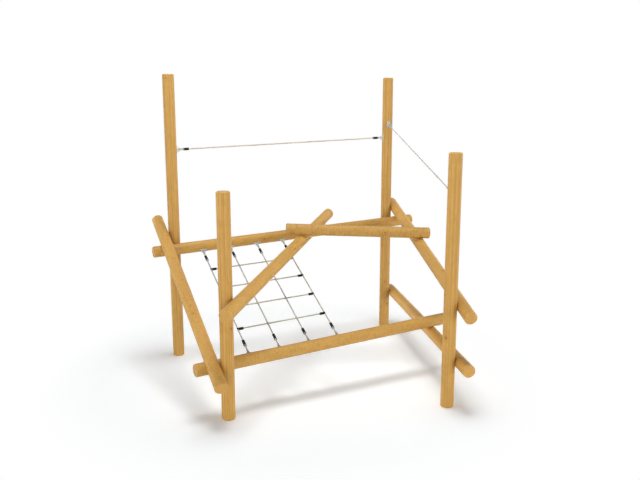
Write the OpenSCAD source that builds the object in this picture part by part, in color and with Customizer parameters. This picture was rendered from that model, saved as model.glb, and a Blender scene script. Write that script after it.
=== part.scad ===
// Climbing frame of round logs, with a slanted rope net and two taut hand ropes.
// Four upright posts carry the rear beam, two rails on the right, a brace on the left and one end of
// the front beam, whose other end lies on the lower rail. A leaning log rests on the rear beam, and
// a top log rests on the leaning log and on the upper rail.
// +Z is up, +X runs along the front from the left post to the right one, +Y runs to the rear.
// The origin lies on the ground, under the middle of the whole frame's box. Sizes are in mm.

/* [Logs] */
// Diameter of the four posts
post_d = 140; // [130:1:150]
// Diameter of the beams, rails, brace, leaning log and top log
log_d = 137; // [128:1:146]
// Chamfer round both ends of every log
end_chamfer = 10; // [5:1:15]
// Depth to which a log is let in over the log that carries it
let_in = 8; // [5:1:11]
// Depth to which the brace and the front beam are let in over their posts
side_let_in = 1; // [0.6:0.1:2]
// Gap left between two logs where one is hollowed to fit round the other
seat_gap = 0.3; // [0.1:0.1:0.6]

/* [Posts] */
// Distance between the two front posts
front_span = 2305; // [2200:5:2400]
// Rear left post, measured along the front from the front left post
back_left_x = -620; // [-680:5:-560]
// Rear left post, measured to the rear from the front left post
back_left_y = 1985; // [1900:5:2080]
// Rear right post, measured along the front from the front left post
back_right_x = 2260; // [2200:5:2320]
// Rear right post, measured to the rear from the front left post
back_right_y = 2835; // [2760:5:2920]
// Height of the two rear posts
rear_post_h = 3510; // [3350:5:3650]
// Height of the front left post
front_left_h = 2335; // [2200:5:2450]
// Height of the front right post
front_right_h = 2685; // [2600:5:2800]

/* [Rear beam] */
// Height of the rear beam where it crosses the left post
back_beam_z_left = 1405; // [1380:5:1430]
// Height of the rear beam where it crosses the right post
back_beam_z_right = 1545; // [1500:5:1570]
// Length of the rear beam beyond the left post's crossing
back_beam_over_left = 295; // [280:5:340]
// Length of the rear beam beyond the right post's crossing
back_beam_over_right = 325; // [260:5:380]

/* [Front beam] */
// Height of the front beam where it crosses the left post
front_beam_z_left = 530; // [520:5:545]
// Where the front beam lies on the lower rail, from the rear right post's crossing
front_beam_along_rail = 1805; // [1760:5:1850]
// Length of the front beam beyond the left post's crossing
front_beam_over_left = 300; // [280:5:340]
// Length of the front beam beyond the lower rail
front_beam_over_right = 200; // [150:5:250]

/* [Left brace] */
// Height of the brace where it crosses the rear left post
brace_z_back = 1575; // [1560:5:1600]
// Height of the brace where it crosses the front left post
brace_z_front = 545; // [535:5:560]
// Length of the brace beyond the rear crossing
brace_over_back = 335; // [280:5:400]
// Length of the brace beyond the front crossing
brace_over_front = 265; // [210:5:300]

/* [Right rails] */
// Height of the upper rail where it crosses the rear right post
upper_rail_z_back = 1725; // [1710:5:1760]
// Height of the upper rail where it crosses the front right post
upper_rail_z_front = 1095; // [1080:5:1140]
// Length of the upper rail beyond the rear crossing
upper_rail_over_back = 225; // [180:5:280]
// Length of the upper rail beyond the front crossing
upper_rail_over_front = 270; // [220:5:320]
// Height of the lower rail where it crosses the rear right post
lower_rail_z_back = 495; // [440:5:550]
// Height of the lower rail where it crosses the front right post
lower_rail_z_front = 480; // [440:5:550]
// Length of the lower rail beyond the rear crossing
lower_rail_over_back = 205; // [160:5:260]
// Length of the lower rail beyond the front crossing
lower_rail_over_front = 270; // [220:5:320]

/* [Leaning log and top log] */
// Height of the leaning log where it crosses the front left post
lean_z_front = 1225; // [1180:5:1270]
// Where the leaning log lies on the rear beam, from the left post's crossing
lean_along_back = 1930; // [1880:5:1980]
// Length of the leaning log beyond the front left post's crossing
lean_over_front = 310; // [250:5:360]
// Length of the leaning log beyond the rear beam
lean_over_back = 385; // [320:5:440]
// Where the top log lies on the leaning log, from the front left post's crossing
top_along_lean = 1990; // [1940:5:2040]
// Where the top log lies on the upper rail, from the rear right post's crossing
top_along_rail = 1235; // [1190:5:1280]
// Length of the top log beyond the leaning log
top_over_left = 210; // [170:5:260]
// Length of the top log beyond the upper rail
top_over_right = 120; // [100:5:160]

/* [Rope net] */
// Diameter of every rope
rope_d = 16; // [14:0.5:18]
// First lengthwise rope on the rear beam, from the left post's crossing
net_back_start = 312; // [300:2:340]
// Spacing of the lengthwise ropes along the rear beam
net_back_pitch = 352; // [342:1:362]
// First lengthwise rope on the front beam, from the left post's crossing
net_front_start = 320; // [300:2:340]
// Spacing of the lengthwise ropes along the front beam
net_front_pitch = 357; // [347:1:367]
// How far below the horizontal the rear beam's eye plates face
back_plate_turn = 42; // [34:1:50]
// How far above the horizontal the front beam's eye plates face
front_plate_turn = 25; // [18:1:34]
// How far a net rope's eyes are turned round the rope, out of square with their bars
net_eye_turn = 26; // [18:1:30]

/* [Hand ropes] */
// Height of the rear hand rope's eye on the left post
rear_rope_z_left = 2615; // [2500:5:2700]
// Height of the rear hand rope's eye on the right post
rear_rope_z_right = 2705; // [2650:5:2740]
// Height of the right hand rope's eye on the rear post
right_rope_z_back = 2885; // [2860:5:2960]
// Height of the right hand rope's eye on the front post
right_rope_z_front = 2290; // [2200:5:2360]

/* [Eye plates] */
// Length of an eye plate
plate_l = 100; // [96:1:108]
// Width of an eye plate
plate_w = 38; // [34:1:42]
// Thickness of an eye plate
plate_t = 5; // [4:0.5:6]
// Distance between a plate's two screws
plate_screw_pitch = 76; // [75:0.5:78]
// Diameter of the round bar that forms the eye
eye_bar_d = 10; // [8:0.5:11]
// Clear width inside the eye
eye_inner_w = 34; // [33:0.5:35]
// Clear height inside the eye, above the plate
eye_inner_h = 26; // [25:0.5:30]
// Radius of the eye's inner corners
eye_corner_r = 6; // [4:0.5:7]

/* [Thimbles and ferrules] */
// Inner radius of a thimble's crown
thimble_r = 14; // [13:0.5:16]
// Thickness of a thimble's wall and cheeks
thimble_t = 2.5; // [2:0.25:3]
// Radius of the bend that brings the two legs of a rope eye together
throat_bend = 22; // [20:1:28]
// Gap between the two legs of rope inside a ferrule
leg_gap = 1; // [0.8:0.1:1.6]
// Wall of a ferrule round the rope
ferrule_wall = 7; // [5:0.5:8]
// Length of a ferrule on the net's lengthwise ropes
net_ferrule_l = 70; // [60:1:90]
// Distance from the eye to the ferrule at the rear beam
back_ferrule_from_eye = 89; // [80:1:100]
// Distance from the eye to the ferrule at the front beam
front_ferrule_from_eye = 106; // [80:1:120]
// Length of a ferrule on the hand ropes
hand_ferrule_l = 65; // [50:1:80]
// Distance from the eye to the ferrule on the hand ropes
hand_ferrule_from_eye = 52; // [50:1:80]
// Wall of the steel sleeves that close the right hand rope's eyes
sleeve_wall = 2.5; // [2:0.25:4]
// Length of a cross rope's tee, from the middle of the rope that it grips
tee_l = 62; // [54:1:72]
// Length of the tee's barrel along the rope that it grips
tee_barrel_l = 20; // [16:1:30]
// Wall of the tee's barrel
tee_wall = 2.2; // [1.8:0.2:4]

/* [Screws and plugs] */
// Diameter of the screws that hold the logs together
screw_d = 16; // [12:1:18]
// Diameter of the flange under a log screw's head
screw_flange_d = 34; // [30:1:36]
// Thickness of the flange
screw_flange_t = 3; // [2:0.5:4]
// Distance across the flats of a log screw's head
screw_head_af = 24; // [20:1:25]
// Height of a log screw's head above its flange
screw_head_h = 10; // [8:1:12]
// Diameter of the wood plugs over the screw heads
plug_d = 38; // [38:1:44]
// Thickness of a wood plug in the middle
plug_t = 12; // [9:1:15]
// Diameter of an eye plate's screws
plate_screw_d = 8; // [6:0.5:9]
// Length of an eye plate's screws under the head
plate_screw_l = 50; // [40:1:55]
// Distance across the flats of an eye plate's screw heads
plate_head_af = 13; // [10:1:14]
// Height of an eye plate's screw heads
plate_head_h = 5; // [4:0.5:7]
// Clearance round screws, plugs and ropes in their holes
hole_gap = 0.2; // [0.1:0.05:0.3]

/* [Hidden] */

WOOD = [0.80, 0.62, 0.36];
PLUG_WOOD = [0.74, 0.55, 0.31];
STEEL = [0.78, 0.79, 0.77];
DARK_STEEL = [0.32, 0.31, 0.29];
ROPE = [0.76, 0.73, 0.66];
BLACK = [0.10, 0.10, 0.10];

post_r = post_d / 2;
log_r = log_d / 2;
rope_r = rope_d / 2;
up = [0, 0, 1];
round_fn = 72;

// ---- Directions and lengths ----

function unit(v) = v / norm(v);

// The part of v that is square to the unit vector d, at length 1.
function square_to(v, d) = unit(v - (v * d) * d);

// ---- Where the logs lie ----
// A log is [start, end, first seat, second seat, radius]. A seat is the point of its axis that is
// nearest to the axis of the log that carries it there.

// The two seats of a log that touches two others. P and Q are the points of their axes that it
// passes, a and b are their directions, and reach_a and reach_b are the distances between axes,
// whose signs choose the side. Each seat is square to both logs, so the pair is found by steps.
function seats(P, a, reach_a, Q, b, reach_b, w, steps) =
    let (A = P + reach_a * unit(cross(w, a)),
         B = Q + reach_b * unit(cross(w, b)))
    steps == 0 ? [A, B] : seats(P, a, reach_a, Q, b, reach_b, B - A, steps - 1);

function resting_log(P, a, reach_a, Q, b, reach_b, over_start, over_end) =
    let (s = seats(P, a, reach_a, Q, b, reach_b, Q - P, 12),
         d = unit(s[1] - s[0]))
    [s[0] - over_start * d, s[1] + over_end * d, s[0], s[1], log_r];

function post(foot, h) = [foot, foot + h * up, foot, foot + h * up, post_r];
function direction(l) = unit(l[1] - l[0]);
function moved(l, by) = [l[0] + by, l[1] + by, l[2] + by, l[3] + by, l[4]];

on_post = post_r + log_r - let_in;
beside_post = post_r + log_r - side_let_in;
on_log = 2 * log_r - let_in;

foot_front_left = [0, 0, 0];
foot_front_right = [front_span, 0, 0];
foot_rear_left = [back_left_x, back_left_y, 0];
foot_rear_right = [back_right_x, back_right_y, 0];

// The rear beam lies before its posts.
raw_rear = resting_log(
    foot_rear_left + back_beam_z_left * up, up, on_post,
    foot_rear_right + back_beam_z_right * up, up, on_post,
    back_beam_over_left, back_beam_over_right);

// The brace and the rails lie outside their posts.
raw_brace = resting_log(
    foot_rear_left + brace_z_back * up, up, beside_post,
    foot_front_left + brace_z_front * up, up, beside_post,
    brace_over_back, brace_over_front);
raw_upper_rail = resting_log(
    foot_rear_right + upper_rail_z_back * up, up, -on_post,
    foot_front_right + upper_rail_z_front * up, up, -on_post,
    upper_rail_over_back, upper_rail_over_front);
raw_lower_rail = resting_log(
    foot_rear_right + lower_rail_z_back * up, up, -on_post,
    foot_front_right + lower_rail_z_front * up, up, -on_post,
    lower_rail_over_back, lower_rail_over_front);

// The front beam lies behind the front left post and on the lower rail.
raw_front = resting_log(
    foot_front_left + front_beam_z_left * up, up, -beside_post,
    raw_lower_rail[2] + front_beam_along_rail * direction(raw_lower_rail), direction(raw_lower_rail), -on_log,
    front_beam_over_left, front_beam_over_right);

// The leaning log passes the front left post on its right side and lies on the rear beam.
raw_lean = resting_log(
    foot_front_left + lean_z_front * up, up, on_post,
    raw_rear[2] + lean_along_back * direction(raw_rear), direction(raw_rear), -on_log,
    lean_over_front, lean_over_back);

// The top log lies on the leaning log and on the upper rail.
raw_top = resting_log(
    raw_lean[2] + top_along_lean * direction(raw_lean), direction(raw_lean), on_log,
    raw_upper_rail[2] + top_along_rail * direction(raw_upper_rail), direction(raw_upper_rail), -on_log,
    top_over_left, top_over_right);

raw_logs = [
    post(foot_rear_left, rear_post_h), post(foot_front_left, front_left_h),
    post(foot_rear_right, rear_post_h), post(foot_front_right, front_right_h),
    raw_rear, raw_front, raw_brace, raw_upper_rail, raw_lower_rail, raw_lean, raw_top];

// How far a ring of radius r, square to the unit vector d, spreads from its centre along one axis.
function ring_spread(r, d, axis) = r * sqrt(max(0, 1 - d[axis] * d[axis]));

// The four limits of a log along one axis: its two end faces, and where its chamfers begin.
function log_limits(l, axis, sign) =
    let (d = direction(l), full = ring_spread(l[4], d, axis), cut = ring_spread(l[4] - end_chamfer, d, axis))
    [l[0][axis] + sign * cut, l[1][axis] + sign * cut,
     (l[0] + end_chamfer * d)[axis] + sign * full, (l[1] - end_chamfer * d)[axis] + sign * full];

function lowest(axis) = min([for (l = raw_logs) min(log_limits(l, axis, -1))]);
function highest(axis) = max([for (l = raw_logs) max(log_limits(l, axis, 1))]);

origin = [(lowest(0) + highest(0)) / 2, (lowest(1) + highest(1)) / 2, 0];
LOGS = [for (l = raw_logs) moved(l, -origin)];

POST_RL = 0;
POST_FL = 1;
POST_RR = 2;
POST_FR = 3;
REAR = 4;
FRONT = 5;
BRACE = 6;
UPPER = 7;
LOWER = 8;
LEAN = 9;
TOP = 10;

// Each crossing is [carrying log, log that rests on it, which of its seats].
CROSSINGS = [
    [POST_RL, REAR, 2], [POST_RR, REAR, 3], [POST_FL, FRONT, 2], [LOWER, FRONT, 3],
    [POST_RL, BRACE, 2], [POST_FL, BRACE, 3], [POST_RR, UPPER, 2], [POST_FR, UPPER, 3],
    [POST_RR, LOWER, 2], [POST_FR, LOWER, 3], [POST_FL, LEAN, 2], [REAR, LEAN, 3],
    [LEAN, TOP, 2], [UPPER, TOP, 3]];

// The brace is also hollowed over the left ends of the two beams that it passes.
PASSINGS = [[REAR, BRACE], [FRONT, BRACE]];

// The point of a log's axis that is nearest to point P.
function nearest(l, P) = l[0] + ((P - l[0]) * direction(l)) * direction(l);

function crossing_seat(c) = LOGS[c[1]][c[2]];
function crossing_foot(c) = nearest(LOGS[c[0]], crossing_seat(c));

// ---- Rope ends ----
// A rope end is [eye centre, direction of the eye's bar, direction that the plate faces,
// point of the log's axis behind the plate, log radius, how far the rope's eye is turned round it].

// The plate lies in a flat seat, just wide enough for it.
seat_side_gap = 0.3;
function plate_seat_r(r) = sqrt(r * r - pow(plate_w / 2 + seat_side_gap, 2));
function rope_end(base, bar, facing, r, eye_turn) =
    [base + (plate_seat_r(r) + plate_t + eye_inner_h + eye_bar_d / 2) * facing, bar, facing, base, r, eye_turn];

// A beam's eye plate: turn is the angle above the horizontal that it faces, to the front or the rear.
function beam_rope_end(l, along, side, turn) =
    let (d = direction(l), level = unit(cross(d, up)), rise = cross(level, d))
    rope_end(l[2] + along * d, d, side * cos(turn) * level + sin(turn) * rise, l[4], side * net_eye_turn);

// A post's eye plate stands upright and faces the other post.
function post_rope_end(from, to, z) =
    rope_end(LOGS[from][0] + z * up, up, unit(LOGS[to][0] - LOGS[from][0]), LOGS[from][4], 0);

LENGTHWISE = 4;
CROSS = 4;
NET_REAR = [for (i = [0:LENGTHWISE - 1])
    beam_rope_end(LOGS[REAR], net_back_start + i * net_back_pitch, 1, -back_plate_turn)];
NET_FRONT = [for (i = [0:LENGTHWISE - 1])
    beam_rope_end(LOGS[FRONT], net_front_start + i * net_front_pitch, -1, front_plate_turn)];
HAND_REAR = [post_rope_end(POST_RL, POST_RR, rear_rope_z_left),
             post_rope_end(POST_RR, POST_RL, rear_rope_z_right)];
HAND_RIGHT = [post_rope_end(POST_RR, POST_FR, right_rope_z_back),
              post_rope_end(POST_FR, POST_RR, right_rope_z_front)];

// The plates on each log, for its seats and screw holes.
function plates_on(i) =
    i == REAR ? NET_REAR : i == FRONT ? NET_FRONT :
    i == POST_RL ? [HAND_REAR[0]] : i == POST_RR ? [HAND_REAR[1], HAND_RIGHT[0]] :
    i == POST_FR ? [HAND_RIGHT[1]] : [];

// ---- Rope eyes ----
// A rope eye lies in the plane of its thimble: y is across the rope, z runs along it from the eye.

cheek_w = rope_d + 2 * hole_gap + 2 * thimble_t;
crown_r = thimble_r + thimble_t + hole_gap + rope_r;
leg_y = (rope_d + leg_gap) / 2;
throat_z = sqrt(pow(crown_r + throat_bend, 2) - pow(leg_y + throat_bend, 2));
throat_angle = atan2(leg_y + throat_bend, throat_z);

// The frame of one rope end: x is square to the thimble, z points along the rope.
function eye_frame(end, d) =
    let (level = square_to(end[1], d), x = cos(end[5]) * level + sin(end[5]) * cross(d, level))
    [x, cross(d, x), d];
function framed(frame, P, y, z) = P + y * frame[1] + z * frame[2];

// From the eye's bar to the thimble's crown centre. The bar lies at a slant in the thimble
// where the thimble isn't square to it, and touches the crown first where it leaves the thimble.
function crown_z(end, d) =
    let (f = eye_frame(end, d), through = end[1] * f[0],
         across = cheek_w / 2 * (end[1] * f[1]) / through, rise = cheek_w / 2 * abs(end[1] * d) / through)
    sqrt(pow(thimble_r - eye_bar_d / 2 / through - seat_gap, 2) - across * across) - rise;

crown_steps = 12;
throat_steps = 3;

// The path of the rope round the thimble, from the leg at y = leg_y to the leg at y = -leg_y,
// as an arc at each side of the throat and one round the crown. offset moves it inwards.
function eye_arcs(zc, offset) = concat(
    [for (i = [0:throat_steps])
        let (a = 270 - i * (90 - throat_angle) / throat_steps)
        [leg_y + throat_bend + (throat_bend + offset) * sin(a), zc + throat_z + (throat_bend + offset) * cos(a)]],
    [for (i = [1:crown_steps - 1])
        let (a = throat_angle + i * (360 - 2 * throat_angle) / crown_steps)
        [(crown_r - offset) * sin(a), zc + (crown_r - offset) * cos(a)]],
    [for (i = [0:throat_steps])
        let (a = 90 + (throat_steps - i) * (90 - throat_angle) / throat_steps)
        [-leg_y - throat_bend + (throat_bend + offset) * sin(a), zc + throat_z + (throat_bend + offset) * cos(a)]]);

// The rope's legs run on from the throat through the ferrule. The short leg ends just inside it.
tail_inset = 4;
function eye_path(zc, ferrule_z, ferrule_l) = concat(
    [[leg_y, ferrule_z + ferrule_l]],
    eye_arcs(zc, 0),
    [[-leg_y, ferrule_z + ferrule_l - tail_inset]]);

function reversed(list) = [for (i = [len(list) - 1:-1:0]) list[i]];

// One end of a rope as [point, direction square to the thimble], side chooses the long leg's side.
function end_points(end, d, side, ferrule_z, ferrule_l) =
    let (f = eye_frame(end, d))
    [for (p = eye_path(crown_z(end, d), ferrule_z, ferrule_l)) [framed(f, end[0], side * p[0], p[1]), f[0]]];

function rope_points(a, b, ferrule_a, ferrule_b, ferrule_l) =
    let (d = unit(b[0] - a[0]))
    concat(reversed(end_points(a, d, 1, ferrule_a, ferrule_l)),
           end_points(b, -d, -1, ferrule_b, ferrule_l));

// The straight part of lengthwise rope i, from one ferrule to the other.
function net_points(i) =
    rope_points(NET_REAR[i], NET_FRONT[i], back_ferrule_from_eye, front_ferrule_from_eye, net_ferrule_l);
function net_line(i) =
    let (p = net_points(i), half = len(p) / 2)
    [p[half - 1][0], p[half][0]];

// Cross ropes divide the lengthwise ropes evenly from eye to eye. Point j of rope i lies on its line.
function net_node(i, j) =
    let (t = (j + 1) / (CROSS + 1),
         P = NET_REAR[i][0] * (1 - t) + NET_FRONT[i][0] * t,
         line = net_line(i),
         d = unit(line[1] - line[0]))
    line[0] + ((P - line[0]) * d) * d;

// ---- Placing ----

// Turns +Z from A towards B.
module along(A, B) {
    v = B - A;
    translate(A) rotate([0, acos(v[2] / norm(v)), atan2(v[1], v[0])]) children();
}

// Puts the children's x, y and z axes on three square directions at P.
module framed_at(P, x, y, z) {
    multmatrix([
        [x[0], y[0], z[0], P[0]],
        [x[1], y[1], z[1], P[1]],
        [x[2], y[2], z[2], P[2]],
        [0, 0, 0, 1]]) children();
}

// How far a cut runs on past the face that it opens.
cut_past = 1;

// ---- Logs ----

module round_log(l) {
    h = norm(l[1] - l[0]);
    along(l[0], l[1])
        rotate_extrude($fn = round_fn)
            polygon([
                [0, 0], [l[4] - end_chamfer, 0], [l[4], end_chamfer],
                [l[4], h - end_chamfer], [l[4] - end_chamfer, h], [0, h]]);
}

// The hollow that seats a log round another one.
module cope(l) {
    along(l[0], l[1])
        cylinder(h = norm(l[1] - l[0]), r = l[4] + seat_gap, $fn = round_fn);
}

under_plug_gap = 1;
pocket_depth = plug_t + under_plug_gap + screw_head_h + screw_flange_t;
tip_inset = 0.75 * screw_d;
bore_past_tip = 1;

// The hole for a log screw: z = 0 is the carrying log's axis, z = reach is the resting log's axis.
module screw_hole(reach, outer_r) {
    floor_z = reach + outer_r - pocket_depth;
    translate([0, 0, tip_inset - bore_past_tip])
        cylinder(h = floor_z - tip_inset + 2 * bore_past_tip, d = screw_d + 2 * hole_gap, $fn = round_fn);
    translate([0, 0, floor_z])
        cylinder(h = pocket_depth + outer_r, d = plug_d + 2 * hole_gap, $fn = round_fn);
}

// The flat seat and the screw holes of an eye plate.
module plate_cut(end) {
    seat_r = plate_seat_r(end[4]);
    framed_at(end[3], end[1], cross(end[2], end[1]), end[2]) {
        translate([-plate_l / 2 - seat_side_gap, -plate_w / 2 - 2 * seat_side_gap, seat_r])
            cube([plate_l + 2 * seat_side_gap, plate_w + 4 * seat_side_gap, end[4]]);
        for (s = [-1, 1])
            translate([s * plate_screw_pitch / 2, 0, seat_r + plate_t - plate_screw_l - bore_past_tip])
                cylinder(h = plate_screw_l, d = plate_screw_d + 2 * hole_gap, $fn = round_fn);
    }
}

// A log with every hollow, hole and seat that its neighbours need.
module fitted_log(i) {
    color(WOOD) difference() {
        round_log(LOGS[i]);
        for (c = CROSSINGS) if (c[1] == i) cope(LOGS[c[0]]);
        for (p = PASSINGS) if (p[1] == i) cope(LOGS[p[0]]);
        for (c = CROSSINGS) if (c[0] == i || c[1] == i)
            along(crossing_foot(c), crossing_seat(c))
                screw_hole(norm(crossing_seat(c) - crossing_foot(c)), LOGS[c[1]][4]);
        for (e = plates_on(i)) plate_cut(e);
    }
}

module post_rear_left() { fitted_log(POST_RL); }
module post_front_left() { fitted_log(POST_FL); }
module post_rear_right() { fitted_log(POST_RR); }
module post_front_right() { fitted_log(POST_FR); }
module beam_rear() { fitted_log(REAR); }
module beam_front() { fitted_log(FRONT); }
module brace_left() { fitted_log(BRACE); }
module rail_right_upper() { fitted_log(UPPER); }
module rail_right_lower() { fitted_log(LOWER); }
module log_leaning() { fitted_log(LEAN); }
module log_top() { fitted_log(TOP); }

// ---- Log screws and their plugs ----

tip_taper = 14;
hex_over_flats = 1 / cos(30);

// A log screw in the same place as its hole, with its flange on the pocket's floor.
module log_screw(reach, outer_r) {
    floor_z = reach + outer_r - pocket_depth;
    translate([0, 0, tip_inset]) cylinder(h = tip_taper, d1 = screw_d / 3, d2 = screw_d, $fn = round_fn);
    translate([0, 0, tip_inset + tip_taper])
        cylinder(h = floor_z - tip_inset - tip_taper, d = screw_d, $fn = round_fn);
    translate([0, 0, floor_z]) cylinder(h = screw_flange_t, d = screw_flange_d, $fn = round_fn);
    translate([0, 0, floor_z + screw_flange_t])
        cylinder(h = screw_head_h, d = screw_head_af * hex_over_flats, $fn = 6);
}

module log_screws() {
    color(DARK_STEEL) for (c = CROSSINGS)
        along(crossing_foot(c), crossing_seat(c))
            log_screw(norm(crossing_seat(c) - crossing_foot(c)), LOGS[c[1]][4]);
}

// A plug is cut off flush with the log's round side.
module wood_plugs() {
    color(PLUG_WOOD) for (c = CROSSINGS) {
        l = LOGS[c[1]];
        reach = norm(crossing_seat(c) - crossing_foot(c));
        intersection() {
            along(crossing_foot(c), crossing_seat(c))
                translate([0, 0, reach + l[4] - plug_t]) cylinder(h = 2 * plug_t, d = plug_d, $fn = round_fn);
            along(l[0], l[1]) cylinder(h = norm(l[1] - l[0]), r = l[4], $fn = round_fn);
        }
    }
}

// ---- Eye plates ----

bar_bend = eye_corner_r + eye_bar_d / 2;
leg_x = (eye_inner_w + eye_bar_d) / 2;
leg_h = eye_inner_h - eye_corner_r;

module eye_corner(s) {
    translate([s * (leg_x - bar_bend), 0, plate_t + leg_h])
        rotate([90, 0, 0]) rotate([0, 0, s > 0 ? 0 : 90])
            rotate_extrude(angle = 90, $fn = round_fn)
                translate([bar_bend, 0]) circle(d = eye_bar_d, $fn = 24);
}

// z = 0 is the plate's back. The bar's middle is over the plate's middle.
module eye_plate() {
    color(STEEL) union() {
        difference() {
            union() {
                translate([-(plate_l - plate_w) / 2, -plate_w / 2, 0]) cube([plate_l - plate_w, plate_w, plate_t]);
                for (s = [-1, 1])
                    translate([s * (plate_l - plate_w) / 2, 0, 0]) cylinder(h = plate_t, d = plate_w, $fn = round_fn);
            }
            for (s = [-1, 1])
                translate([s * plate_screw_pitch / 2, 0, -cut_past])
                    cylinder(h = plate_t + 2 * cut_past, d = plate_screw_d + 2 * hole_gap, $fn = round_fn);
        }
        for (s = [-1, 1]) {
            translate([s * leg_x, 0, plate_t / 2]) cylinder(h = plate_t / 2 + leg_h, d = eye_bar_d, $fn = 24);
            eye_corner(s);
        }
        translate([-(leg_x - bar_bend), 0, plate_t + leg_h + bar_bend])
            rotate([0, 90, 0]) cylinder(h = 2 * (leg_x - bar_bend), d = eye_bar_d, $fn = 24);
    }
}

module on_seat(end) {
    framed_at(end[3] + plate_seat_r(end[4]) * end[2], end[1], cross(end[2], end[1]), end[2]) children();
}

module eye_plates(ends) { for (e = ends) on_seat(e) eye_plate(); }

module plate_screw_pair() {
    color(DARK_STEEL) for (s = [-1, 1]) translate([s * plate_screw_pitch / 2, 0, plate_t]) {
        cylinder(h = plate_head_h, d = plate_head_af * hex_over_flats, $fn = 6);
        translate([0, 0, -plate_screw_l + plate_screw_d])
            cylinder(h = plate_screw_l - plate_screw_d, d = plate_screw_d, $fn = 24);
        translate([0, 0, -plate_screw_l]) cylinder(h = plate_screw_d, d1 = 1, d2 = plate_screw_d, $fn = 24);
    }
}

module net_eye_plates_rear() { eye_plates(NET_REAR); }
module net_eye_plates_front() { eye_plates(NET_FRONT); }
module hand_rope_eye_plates() { eye_plates(concat(HAND_REAR, HAND_RIGHT)); }
module net_plate_screws() { for (e = concat(NET_REAR, NET_FRONT)) on_seat(e) plate_screw_pair(); }
module hand_rope_plate_screws() { for (e = concat(HAND_REAR, HAND_RIGHT)) on_seat(e) plate_screw_pair(); }

// ---- Thimbles ----

// The drop-shaped outline that lies inside the rope's path by offset. Its two sides meet at the tip,
// so the path's points that lie past the tip, or nearly at it, are left out.
function drop_outline(offset) =
    let (closing = pow(throat_bend + offset, 2) - pow(leg_y + throat_bend, 2),
         tip_z = throat_z - sqrt(max(0, closing)),
         nearly_z = tip_z - thimble_t / 5)
    concat([[0, tip_z]], [for (p = eye_arcs(0, offset)) if (p[1] < nearly_z) p]);

// A grooved thimble in the plane of the rope eye, with its crown centre at z = 0.
module thimble() {
    groove_w = rope_d + 2 * hole_gap;
    groove_depth = 0.7 * rope_r;
    band = rope_r + hole_gap;
    color(STEEL) rotate([90, 0, 90]) difference() {
        linear_extrude(cheek_w, center = true) polygon(drop_outline(band - groove_depth));
        difference() {
            linear_extrude(groove_w, center = true) square(6 * crown_r, center = true);
            linear_extrude(groove_w + cut_past, center = true) polygon(drop_outline(band));
        }
        linear_extrude(cheek_w + cut_past, center = true) polygon(drop_outline(band + thimble_t));
    }
}

module thimbles(ends, others) {
    for (i = [0:len(ends) - 1]) {
        d = unit(others[i][0] - ends[i][0]);
        f = eye_frame(ends[i], d);
        framed_at(ends[i][0] + crown_z(ends[i], d) * d, f[0], f[1], f[2]) thimble();
    }
}

module net_thimbles_rear() { thimbles(NET_REAR, NET_FRONT); }
module net_thimbles_front() { thimbles(NET_FRONT, NET_REAR); }
module hand_rope_thimbles() {
    thimbles(concat(HAND_REAR, HAND_RIGHT), concat(reversed(HAND_REAR), reversed(HAND_RIGHT)));
}

// ---- Ropes ----

rope_sides = 10;

// A round tube through [point, direction square to its bend] pairs.
module rope_tube(path) {
    n = len(path);
    tangents = [for (i = [0:n - 1]) unit(path[min(i + 1, n - 1)][0] - path[max(i - 1, 0)][0])];
    points = [for (i = [0:n - 1])
        let (x = square_to(path[i][1], tangents[i]), y = cross(tangents[i], x))
        for (k = [0:rope_sides - 1])
            path[i][0] + rope_r * (cos(k * 360 / rope_sides) * x + sin(k * 360 / rope_sides) * y)];
    faces = concat(
        [[for (k = [rope_sides - 1:-1:0]) k]],
        [for (i = [0:n - 2], k = [0:rope_sides - 1])
            let (a = i * rope_sides + k, b = i * rope_sides + (k + 1) % rope_sides)
            for (t = [[a, b, b + rope_sides], [a, b + rope_sides, a + rope_sides]]) t],
        [[for (k = [0:rope_sides - 1]) (n - 1) * rope_sides + k]]);
    polyhedron(points, [for (f = faces) reversed(f)]);
}

// Where a cross rope passes through a lengthwise one, the strands part round it.
parted_l = 3 * rope_d;
parted_t = 0.95 * rope_d;
parted_wall = 0.6 * rope_r;
parted_r = rope_r + hole_gap + parted_wall;

module parted_strands(P, along_rope, along_cross) {
    framed_at(P, cross(along_cross, along_rope), along_cross, along_rope)
        intersection() {
            union() for (turn = [0, 180]) rotate([turn, 0, 0]) {
                cylinder(h = parted_l / 6, r = parted_r, $fn = 36);
                translate([0, 0, parted_l / 6])
                    cylinder(h = parted_l / 2, r1 = parted_r, r2 = rope_r / 2, $fn = 36);
            }
            cube([3 * parted_r, parted_t, 2 * parted_l], center = true);
        }
}

module net_rope(i) {
    line = net_line(i);
    d = unit(line[1] - line[0]);
    color(ROPE) {
        if (i == 0 || i == LENGTHWISE - 1) rope_tube(net_points(i));
        else difference() {
            union() {
                rope_tube(net_points(i));
                for (j = [0:CROSS - 1])
                    parted_strands(net_node(i, j), d, square_to(cross_line(j)[1] - cross_line(j)[0], d));
            }
            for (j = [0:CROSS - 1])
                along(cross_line(j)[0], cross_line(j)[1])
                    cylinder(h = norm(cross_line(j)[1] - cross_line(j)[0]), r = rope_r + hole_gap, $fn = round_fn);
        }
    }
}

function cross_line(j) = [net_node(0, j), net_node(LENGTHWISE - 1, j)];

tee_web = 4;
tee_bore_r = rope_r + hole_gap;
tee_barrel_r = tee_bore_r + tee_wall;
tee_sleeve_r = tee_bore_r + ferrule_wall;
cross_start = tee_bore_r + tee_web;

module cross_rope(j) {
    line = cross_line(j);
    color(ROPE) along(line[0], line[1])
        translate([0, 0, cross_start + hole_gap])
            cylinder(h = norm(line[1] - line[0]) - 2 * (cross_start + hole_gap), r = rope_r, $fn = 36);
}

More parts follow.
